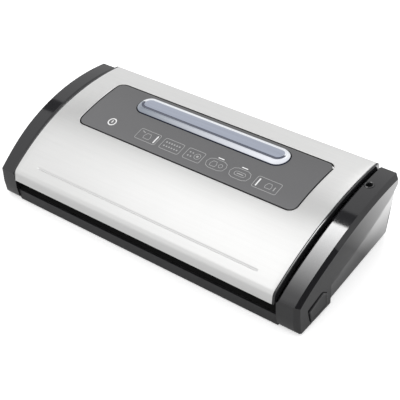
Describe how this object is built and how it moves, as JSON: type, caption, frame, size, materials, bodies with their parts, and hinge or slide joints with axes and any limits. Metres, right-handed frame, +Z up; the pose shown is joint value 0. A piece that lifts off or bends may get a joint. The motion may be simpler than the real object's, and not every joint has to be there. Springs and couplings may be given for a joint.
{
  "type": "vacuum sealer",
  "caption": "Countertop vacuum sealer with a domed steel lid hinged between two black end caps, a touch panel with a long window, a bag slot in front and side release buttons.",
  "frame": {"origin": "on the floor under the middle of the object", "axes": "+X along the sealing bar to the right as seen from the front, -Y the front where the bag goes in, +Z up"},
  "size_m": [0.397, 0.178, 0.0783],
  "materials": {
    "steel": "fine straight brushing, bright",
    "gloss_black": "polished black moulding",
    "matt_black": "fine moulded texture",
    "panel": "dark grey printed overlay, satin",
    "window": "clear bluish moulded lens",
    "rubber": "matt rubber",
    "foam": "closed-cell foam",
    "silicone": "matt silicone",
    "white_plastic": "natural moulding",
    "heater": "rolled resistance strip",
    "ptfe": "brown coated glass cloth",
    "zinc": "zinc-plated steel",
    "board": "green circuit board",
    "hose": "soft clear tube",
    "brass": "bright brass",
    "lamination": "varnished core"
  },
  "bodies": {
    "base": {"left_end_cap": "gloss_black", "right_end_cap": "gloss_black", "suction_nozzle": "gloss_black", "power_inlet": "gloss_black", "base_tray": "matt_black", "base_deck": "matt_black", "drip_tray": "matt_black", "pump_cover": "matt_black", "lid_switch": "matt_black", "accessory_port": "matt_black", "foot_front_left": "rubber", "foot_front_right": "rubber", "foot_rear_left": "rubber", "foot_rear_right": "rubber", "pump_diaphragm": "rubber", "lower_gasket": "foam", "sealing_bar": "white_plastic", "pump_head": "white_plastic", "release_valve": "white_plastic", "heating_strip": "heater", "seal_tape": "ptfe", "hinge_pin_left": "zinc", "hinge_pin_right": "zinc", "latch_pin_left": "zinc", "latch_pin_right": "zinc", "button_spring_left": "zinc", "button_spring_right": "zinc", "pump_motor": "zinc", "pump_bracket": "zinc", "thermal_cutoff": "zinc", "base_screw_1": "zinc", "base_screw_2": "zinc", "base_screw_3": "zinc", "base_screw_4": "zinc", "power_board": "board", "vacuum_hose": "hose", "accessory_hose": "hose", "inlet_pin_left": "brass", "inlet_pin_right": "brass", "transformer": "lamination"},
    "lid": {"lid_skin": "steel", "lid_frame": "matt_black", "lid_liner": "matt_black", "lid_end_trim_left": "gloss_black", "lid_end_trim_right": "gloss_black", "control_panel": "panel", "window_lens": "window", "touch_board": "board", "upper_gasket": "foam", "pressure_strip": "silicone", "lid_hook_left": "zinc", "lid_hook_right": "zinc"},
    "button_left": {"release_button_left": "gloss_black"},
    "button_right": {"release_button_right": "gloss_black"},
    "latch_left": {"latch_left": "zinc"},
    "latch_right": {"latch_right": "zinc"},
    "pump_rotor": {"pump_rotor": "zinc"},
    "valve_plunger": {"valve_plunger": "zinc"},
    "switch_lever": {"switch_lever": "zinc"}
  },
  "joints": [
    {"name": "lid_hinge", "type": "hinge", "parent": "base", "child": "lid", "pos_m": [0, 0.079, 0.064], "axis": [-1, 0, 0], "range_deg": [0, 70]},
    {"name": "button_left_press", "type": "slide", "parent": "base", "child": "button_left", "axis": [1, 0, 0], "range_m": [0, 0.003], "stiffness_N_per_m": 600, "springref_m": -0.001, "deforming": ["button_spring_left"]},
    {"name": "button_right_press", "type": "slide", "parent": "base", "child": "button_right", "axis": [-1, 0, 0], "range_m": [0, 0.003], "stiffness_N_per_m": 600, "springref_m": -0.001, "deforming": ["button_spring_right"]},
    {"name": "latch_left_turn", "type": "hinge", "parent": "base", "child": "latch_left", "pos_m": [-0.165, -0.057, 0.017], "axis": [0, -1, 0], "range_deg": [0, 27]},
    {"name": "latch_right_turn", "type": "hinge", "parent": "base", "child": "latch_right", "pos_m": [0.165, -0.057, 0.017], "axis": [0, 1, 0], "range_deg": [0, 27]},
    {"name": "pump_spin", "type": "hinge", "parent": "base", "child": "pump_rotor", "pos_m": [0.03, 0.04, 0.024], "axis": [1, 0, 0], "continuous": true},
    {"name": "valve_pull", "type": "slide", "parent": "base", "child": "valve_plunger", "axis": [0, 0, -1], "range_m": [0, 0.0025], "stiffness_N_per_m": 300, "springref_m": -0.001},
    {"name": "switch_press", "type": "hinge", "parent": "base", "child": "switch_lever", "pos_m": [0.158, -0.026, 0.0198], "axis": [1, 0, 0], "range_deg": [0, 4], "stiffness_Nm_per_rad": 0.02, "springref_deg": -5.73}
  ],
  "couplings": [
    {"joint": "latch_left_turn", "follows": "button_left_press", "rad_per_m": 155},
    {"joint": "latch_right_turn", "follows": "button_right_press", "rad_per_m": 155}
  ]
}
